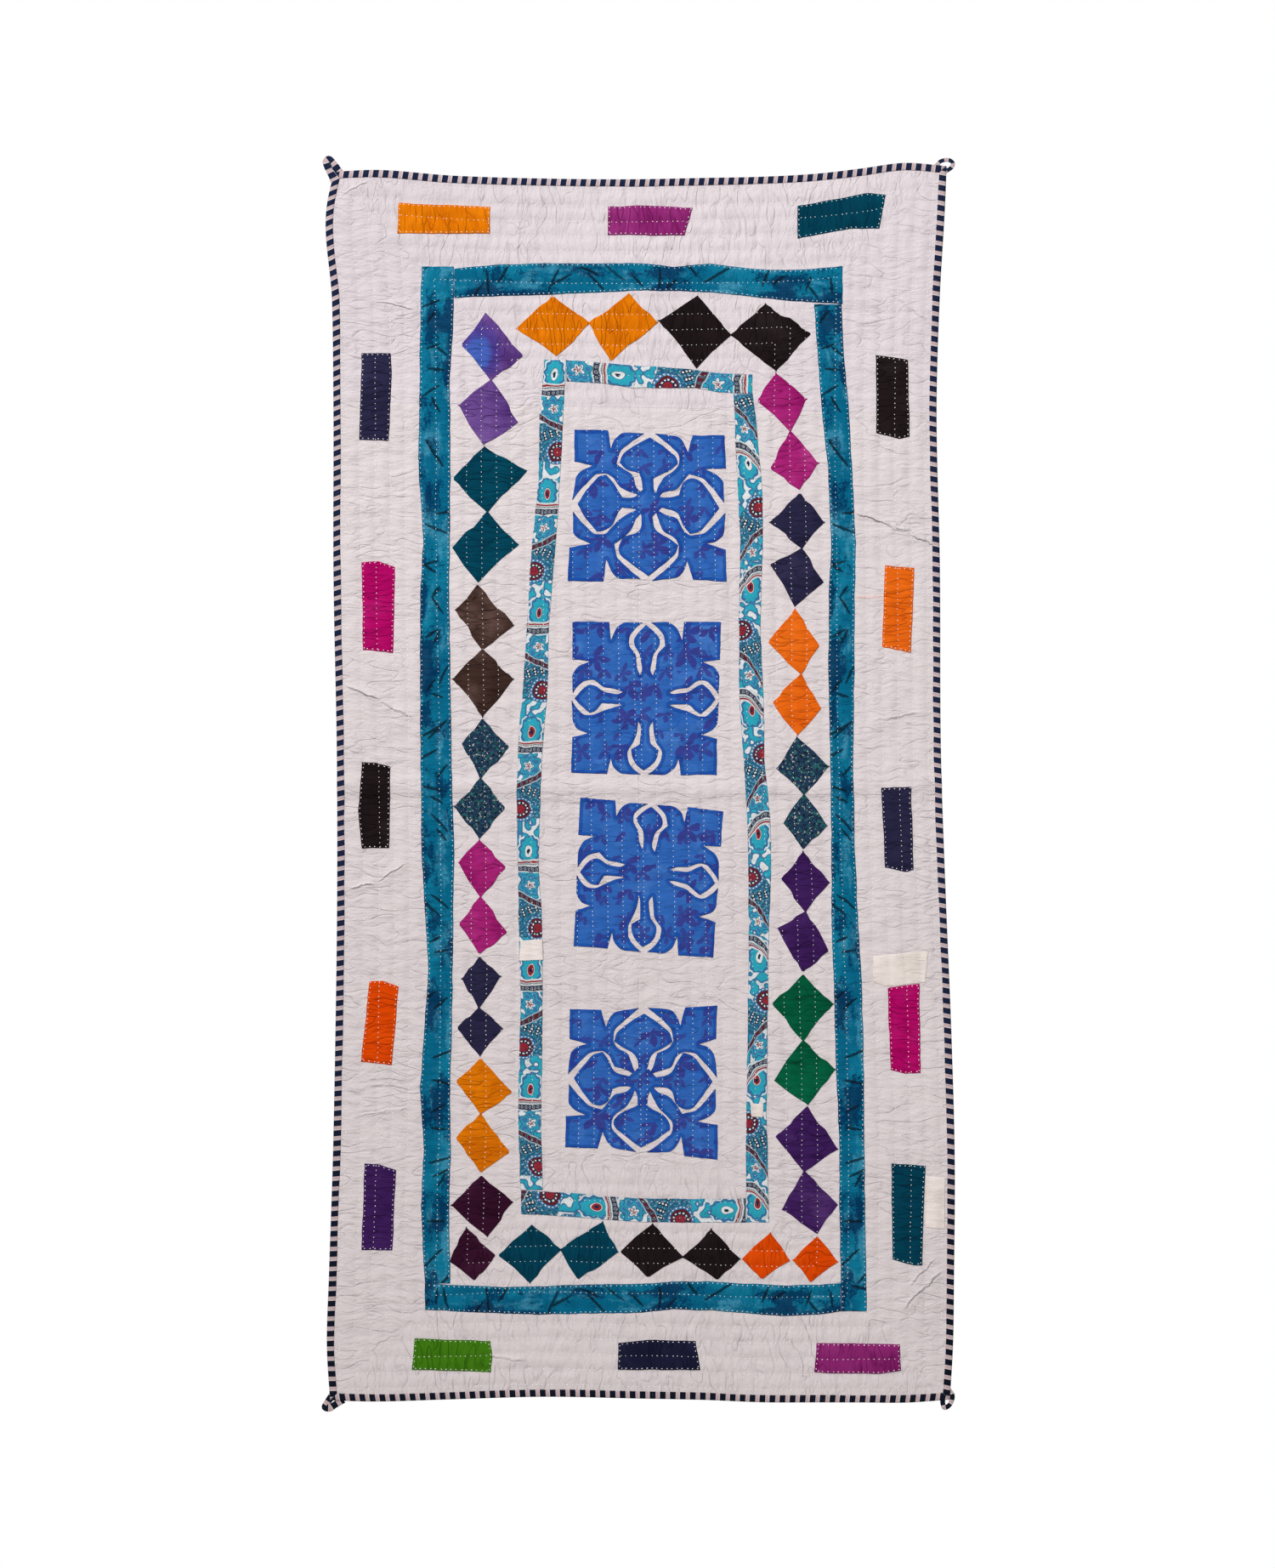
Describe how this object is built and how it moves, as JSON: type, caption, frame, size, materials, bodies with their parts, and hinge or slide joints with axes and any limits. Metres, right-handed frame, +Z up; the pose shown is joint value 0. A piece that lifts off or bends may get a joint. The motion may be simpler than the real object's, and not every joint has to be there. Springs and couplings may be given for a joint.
{
  "type": "hand-quilted wall hanging blanket",
  "caption": "Hand-quilted cotton wall hanging with a striped binding, corner loops, two strip frames, border rectangles, a ring of diamonds and a column of cut-work squares.",
  "frame": {"origin": "middle of the top edge of the ground, at the very back of the cloth, against the wall", "axes": "+X to the right and +Z up as seen from the front, +Y from the front to the wall"},
  "size_m": [1.0305, 0.0123, 2.0345],
  "materials": {
    "off_white_cotton": "off-white cotton, quilted in white running stitch",
    "striped_cotton": "navy and light pinkish stripes with fine red-brown pinstripes",
    "teal_tie_dye": "teal tie-dye with dark scratchy strokes",
    "paisley_print": "white ground with turquoise, navy and dark red paisley print",
    "blue_print": "royal blue with violet leaf and flower print",
    "cream_cotton": "plain cream cotton",
    "amber_cotton": "amber, mottled by hand dyeing",
    "orange_cotton": "orange, mottled by hand dyeing",
    "magenta_cotton": "magenta, mottled by hand dyeing",
    "purple_cotton": "purple tie-dye",
    "violet_cotton": "blue-violet tie-dye",
    "navy_cotton": "navy, mottled by hand dyeing",
    "black_cotton": "black, washed out in places",
    "deep_teal_cotton": "deep teal, mottled by hand dyeing",
    "green_cotton": "green, mottled by hand dyeing",
    "leaf_green_cotton": "leaf green, mottled by hand dyeing",
    "plum_cotton": "dark plum",
    "brown_cotton": "brown, washed out in places",
    "dark_blue_print": "dark blue with small green, cream and black print"
  },
  "bodies": {
    "root": {"quilted_ground": "off_white_cotton", "patch_right": "cream_cotton", "binding_top": "striped_cotton", "teal_strip_top": "teal_tie_dye", "paisley_strip_top": "paisley_print", "binding_right": "striped_cotton", "teal_strip_right": "teal_tie_dye", "paisley_strip_right": "paisley_print", "binding_bottom": "striped_cotton", "teal_strip_bottom": "teal_tie_dye", "paisley_strip_bottom": "paisley_print", "binding_left": "striped_cotton", "teal_strip_left": "teal_tie_dye", "paisley_strip_left": "paisley_print", "loop_top_left": "striped_cotton", "loop_top_right": "striped_cotton", "loop_bottom_left": "striped_cotton", "loop_bottom_right": "striped_cotton", "cutwork_square_1": "blue_print", "cutwork_square_2": "blue_print", "cutwork_square_3": "blue_print", "cutwork_square_4": "blue_print", "rectangle_top_1": "amber_cotton", "rectangle_top_2": "magenta_cotton", "rectangle_top_3": "deep_teal_cotton", "rectangle_right_1": "black_cotton", "rectangle_right_2": "orange_cotton", "rectangle_right_3": "navy_cotton", "rectangle_right_4": "magenta_cotton", "rectangle_right_5": "deep_teal_cotton", "rectangle_bottom_1": "leaf_green_cotton", "rectangle_bottom_2": "navy_cotton", "rectangle_bottom_3": "magenta_cotton", "rectangle_left_1": "navy_cotton", "rectangle_left_2": "magenta_cotton", "rectangle_left_3": "black_cotton", "rectangle_left_4": "orange_cotton", "rectangle_left_5": "purple_cotton", "diamonds_amber_top": "amber_cotton", "diamonds_black_top": "black_cotton", "diamonds_magenta_right": "magenta_cotton", "diamonds_navy_right": "navy_cotton", "diamonds_orange_right": "orange_cotton", "diamonds_print_right": "dark_blue_print", "diamonds_purple_right": "purple_cotton", "diamonds_green_right": "green_cotton", "diamonds_violet_right": "purple_cotton", "diamonds_black_bottom": "black_cotton", "diamonds_teal_bottom": "deep_teal_cotton", "diamonds_amber_left": "amber_cotton", "diamonds_navy_left": "navy_cotton", "diamonds_magenta_left": "magenta_cotton", "diamonds_print_left": "dark_blue_print", "diamonds_brown_left": "brown_cotton", "diamonds_teal_left": "deep_teal_cotton", "diamonds_violet_left": "violet_cotton", "diamond_plum_left": "plum_cotton", "diamond_plum_corner": "plum_cotton", "diamond_orange_bottom": "orange_cotton", "diamond_orange_corner": "orange_cotton"}
  },
  "joints": []
}
